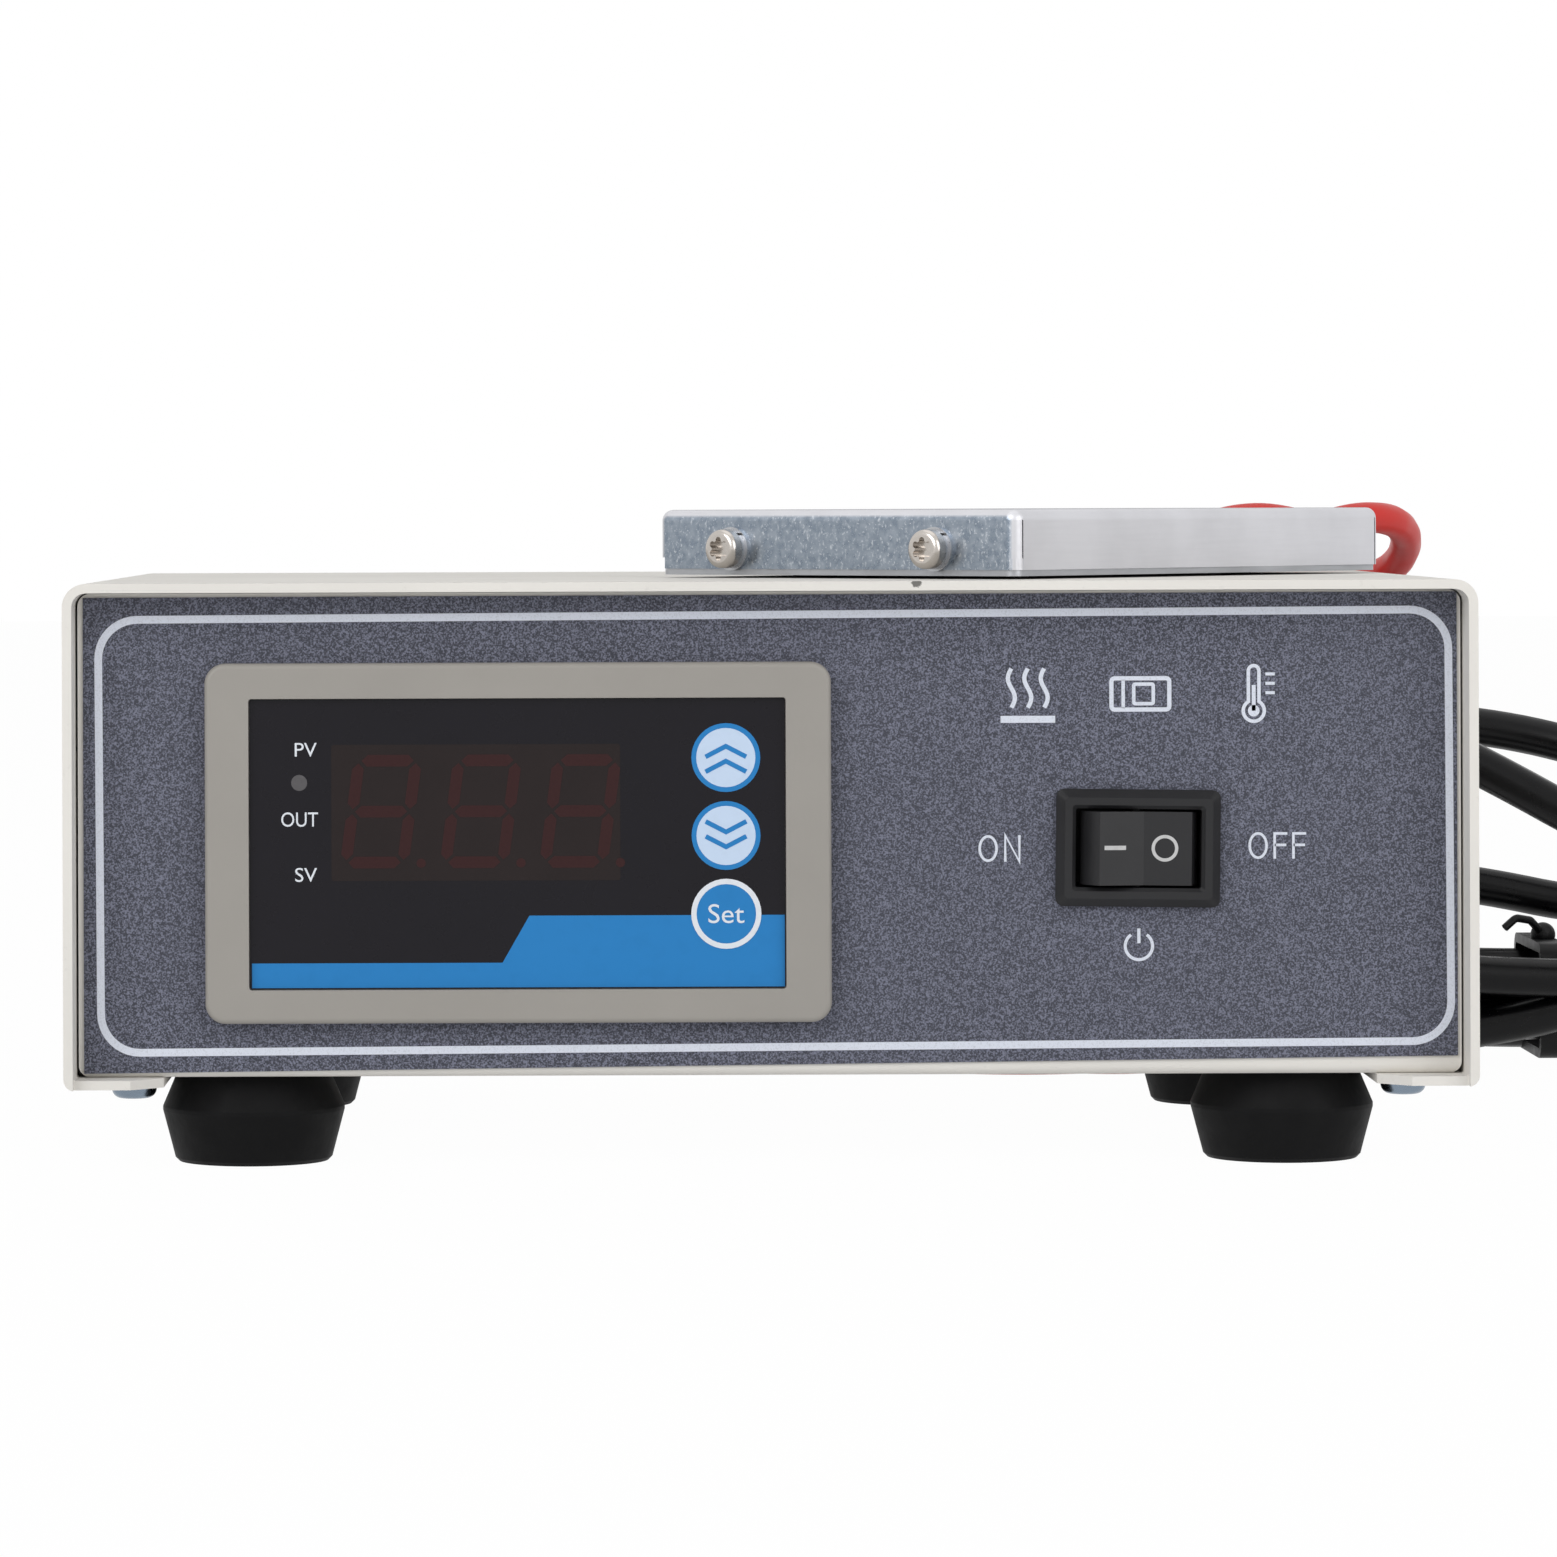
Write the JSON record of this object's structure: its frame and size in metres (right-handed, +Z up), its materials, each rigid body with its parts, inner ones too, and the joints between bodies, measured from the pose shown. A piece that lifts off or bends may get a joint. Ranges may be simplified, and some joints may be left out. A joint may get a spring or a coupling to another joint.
{
  "type": "slide warmer",
  "caption": "Bench slide warmer: folded-sheet control box with a temperature controller and a rocker switch, a small heated specimen stage resting on its top, and tied cords behind.",
  "frame": {"origin": "centre of the box's footprint at the bench", "axes": "+X to the right as one faces the front panel, +Y from the front to the rear, +Z up"},
  "size_m": [0.277, 0.208, 0.0849],
  "materials": {
    "cover_paint": "gloss",
    "chassis_paint": "satin",
    "label_plastic": "matt",
    "foot_rubber": "matt",
    "screw_steel": "bright",
    "bezel_plastic": "matt",
    "film_print": "gloss",
    "case_plastic": "matt",
    "board_laminate": "satin",
    "display_plastic": "gloss",
    "lamp_plastic": "gloss",
    "key_plastic": "matt",
    "plunger_plastic": "matt",
    "switch_plastic": "matt",
    "terminal_metal": "bright",
    "strip_plastic": "matt",
    "core_steel": "satin",
    "coil_tape": "satin",
    "bracket_steel": "brushed",
    "block_plastic": "matt",
    "fuse_plastic": "matt",
    "gland_plastic": "matt",
    "stage_aluminium": "satin",
    "base_steel": "brushed",
    "heater_silicone": "matt",
    "insulation": "matt",
    "sensor_steel": "brushed",
    "bush_rubber": "matt",
    "pad_rubber": "matt",
    "lead_silicone": "satin",
    "cord_rubber": "satin",
    "tie_plastic": "matt",
    "plug_rubber": "satin",
    "pin_brass": "bright"
  },
  "bodies": {
    "box": {"cover": "cover_paint", "chassis": "chassis_paint", "front_label": "label_plastic", "foot_front_left": "foot_rubber", "foot_front_right": "foot_rubber", "foot_rear_left": "foot_rubber", "foot_rear_right": "foot_rubber", "cover_screws": "screw_steel", "foot_screws": "screw_steel", "foot_nuts": "screw_steel", "controller_bezel": "bezel_plastic", "controller_film": "film_print", "controller_case": "case_plastic", "display_board": "board_laminate", "display_module": "display_plastic", "indicator_lamp": "lamp_plastic", "key_switch_up": "key_plastic", "key_switch_down": "key_plastic", "key_switch_set": "key_plastic", "panel_clip_left": "case_plastic", "panel_clip_right": "case_plastic", "terminal_strip": "strip_plastic", "switch_frame": "switch_plastic", "switch_terminals": "terminal_metal", "transformer_core": "core_steel", "transformer_coil": "coil_tape", "transformer_bracket": "bracket_steel", "bracket_screws": "screw_steel", "terminal_block": "block_plastic", "earth_stud": "terminal_metal", "fuse_holder": "fuse_plastic", "fuse_cap": "fuse_plastic", "mains_gland": "gland_plastic", "lead_gland": "gland_plastic", "stage_pan": "stage_aluminium", "stage_base": "base_steel", "heater_mat": "heater_silicone", "insulation_board": "insulation", "temperature_sensor": "sensor_steel", "stage_screws": "screw_steel", "stage_washers": "screw_steel", "lead_bush": "bush_rubber", "stage_pads": "pad_rubber", "stage_lead": "lead_silicone", "stage_lead_coil": "lead_silicone", "stage_lead_tail": "lead_silicone", "mains_cord": "cord_rubber", "mains_hank": "cord_rubber", "mains_cord_end": "cord_rubber", "hank_tie": "tie_plastic", "mains_plug": "plug_rubber", "plug_pins": "pin_brass"},
    "rocker": {"rocker": "switch_plastic"},
    "key_up": {"key_plunger_up": "plunger_plastic"},
    "key_down": {"key_plunger_down": "plunger_plastic"},
    "key_set": {"key_plunger_set": "plunger_plastic"}
  },
  "joints": [
    {"name": "rocker_hinge", "type": "hinge", "parent": "box", "child": "rocker", "pos_m": [0.0471, -0.0564, 0.0408], "axis": [-0.014, 0, -0.9999], "range_deg": [0, 20]},
    {"name": "key_up_travel", "type": "slide", "parent": "box", "child": "key_up", "axis": [0, 1, 0], "range_m": [0, 0.00025], "stiffness_N_per_m": 3000},
    {"name": "key_down_travel", "type": "slide", "parent": "box", "child": "key_down", "axis": [0, 1, 0], "range_m": [0, 0.00025], "stiffness_N_per_m": 3000},
    {"name": "key_set_travel", "type": "slide", "parent": "box", "child": "key_set", "axis": [0, 1, 0], "range_m": [0, 0.00025], "stiffness_N_per_m": 3000}
  ]
}
